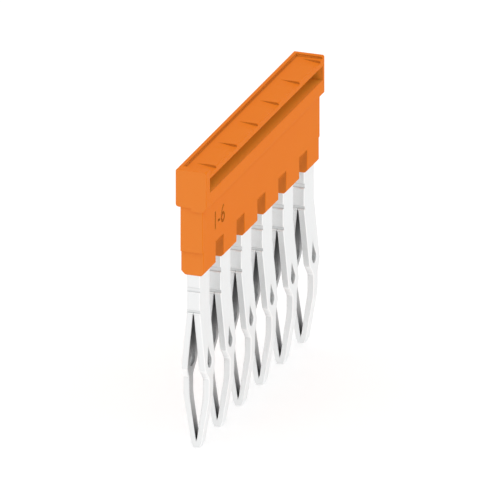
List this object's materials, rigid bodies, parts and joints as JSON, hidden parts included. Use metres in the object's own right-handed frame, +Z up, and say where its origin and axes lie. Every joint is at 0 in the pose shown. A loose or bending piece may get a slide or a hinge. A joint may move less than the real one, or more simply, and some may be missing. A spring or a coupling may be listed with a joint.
{
  "type": "terminal block jumper bar",
  "caption": "Flat plug-in jumper bar: a slim orange moulded housing over a row of bowed, tin-plated spring contacts that bridge neighbouring rail terminal blocks.",
  "frame": {"origin": "middle of the row of contacts, level with the lower edge of the housing, where the contacts come out", "axes": "+X along the row of poles, from the end with the thick wall beside the slot to the thin one; -Y out of the slotted front; +Z up, from the contacts to the collar"},
  "size_m": [0.029, 0.0026, 0.0247],
  "materials": {
    "orange_polyamide": "satin moulded polyamide",
    "tinned_copper": "tin plating on copper strip, silky and bright"
  },
  "bodies": {
    "root": {"insulating_housing": "orange_polyamide", "contact_comb": "tinned_copper"}
  },
  "joints": []
}
